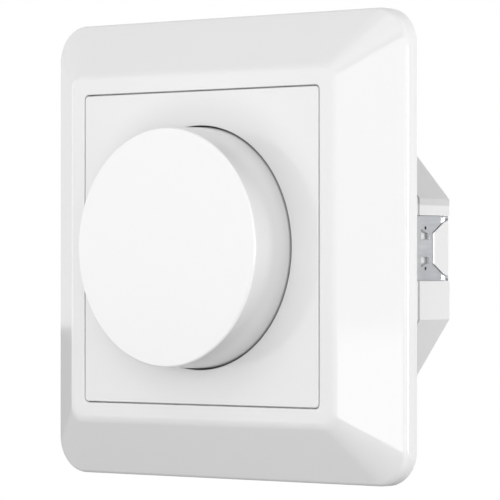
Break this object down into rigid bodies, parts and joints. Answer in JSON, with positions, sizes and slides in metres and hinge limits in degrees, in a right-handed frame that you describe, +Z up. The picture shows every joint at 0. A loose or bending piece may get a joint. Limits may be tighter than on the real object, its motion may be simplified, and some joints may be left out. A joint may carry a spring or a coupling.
{
  "type": "dimmer switch",
  "caption": "Flush wall dimmer with a bevelled square frame, a flat centre plate, a large round push-and-turn knob and a chamfered insert housing behind the wall.",
  "frame": {"origin": "centre of the wall plane, on the knob's axis, at the back of the support plate and the cover frame", "axes": "+Z up, +X to the right seen from the room, +Y into the wall box along the knob's axis; the front faces -Y"},
  "size_m": [0.084, 0.0501, 0.084],
  "materials": {
    "white_gloss": "glossy pure white moulded plastic",
    "white_plate": "silky white moulded plastic",
    "white_knob": "silky white moulded plastic",
    "housing_white": "plain white moulded plastic",
    "zinc_plated_steel": "bright zinc plating, slightly blue",
    "spring_steel": "polished spring steel",
    "spindle_steel": "turned steel",
    "bush_brass": "nickel-plated brass",
    "contact_brass": "stamped brass",
    "rivet_aluminium": "plain aluminium",
    "spreader_aluminium": "plain aluminium sheet",
    "board_green": "green solder mask",
    "black_plastic": "black moulded plastic",
    "rotor_plastic": "natural nylon",
    "track_brown": "phenolic board with carbon track",
    "ferrite": "sintered ferrite",
    "copper_wire": "enamelled copper wire",
    "capacitor_yellow": "moulded case",
    "can_sleeve": "dark plastic sleeve",
    "fuse_glass": "clear glass tube",
    "varistor_blue": "dipped coating"
  },
  "bodies": {
    "insert": {"cover_frame": "white_gloss", "centre_plate": "white_plate", "centre_plate_nut": "bush_brass", "bush_nut": "bush_brass", "bush_washer": "zinc_plated_steel", "threaded_bush": "bush_brass", "support_plate": "zinc_plated_steel", "retaining_bracket": "zinc_plated_steel", "bracket_rivets": "rivet_aluminium", "housing_front": "housing_white", "housing_rear": "housing_white", "circuit_board": "board_green", "pot_case": "black_plastic", "pot_track": "track_brown", "switch_case": "black_plastic", "fixed_contacts": "contact_brass", "switch_spring": "spring_steel", "choke_core": "ferrite", "choke_winding": "copper_wire", "film_capacitor": "capacitor_yellow", "smoothing_capacitor": "can_sleeve", "heat_spreader": "spreader_aluminium", "power_transistors": "black_plastic", "fuse_tube": "fuse_glass", "fuse_caps": "bush_brass", "varistor": "varistor_blue", "control_chip": "black_plastic", "terminal_cages": "zinc_plated_steel", "terminal_screws": "zinc_plated_steel"},
    "turning_rotor": {"pot_rotor": "rotor_plastic", "pot_wiper": "contact_brass"},
    "knob_and_spindle": {"knob": "white_knob", "knob_spring_ring": "spring_steel", "spindle": "spindle_steel", "spindle_clip": "spring_steel"},
    "plunger": {"switch_plunger": "rotor_plastic", "contact_bridge": "contact_brass"}
  },
  "joints": [
    {"name": "knob_turn", "type": "hinge", "parent": "insert", "child": "turning_rotor", "pos_m": [0, 0, 0], "axis": [0, 1, 0], "range_deg": [-150, 150]},
    {"name": "knob_push", "type": "slide", "parent": "turning_rotor", "child": "knob_and_spindle", "axis": [0, 1, 0], "range_m": [0, 0.0012], "stiffness_N_per_m": 1500, "springref_m": -0.001},
    {"name": "plunger_press", "type": "slide", "parent": "insert", "child": "plunger", "axis": [0, 1, 0], "range_m": [0, 0.0012], "deforming": ["switch_spring"]}
  ],
  "couplings": [
    {"joint": "plunger_press", "follows": "knob_push", "ratio": 1}
  ]
}
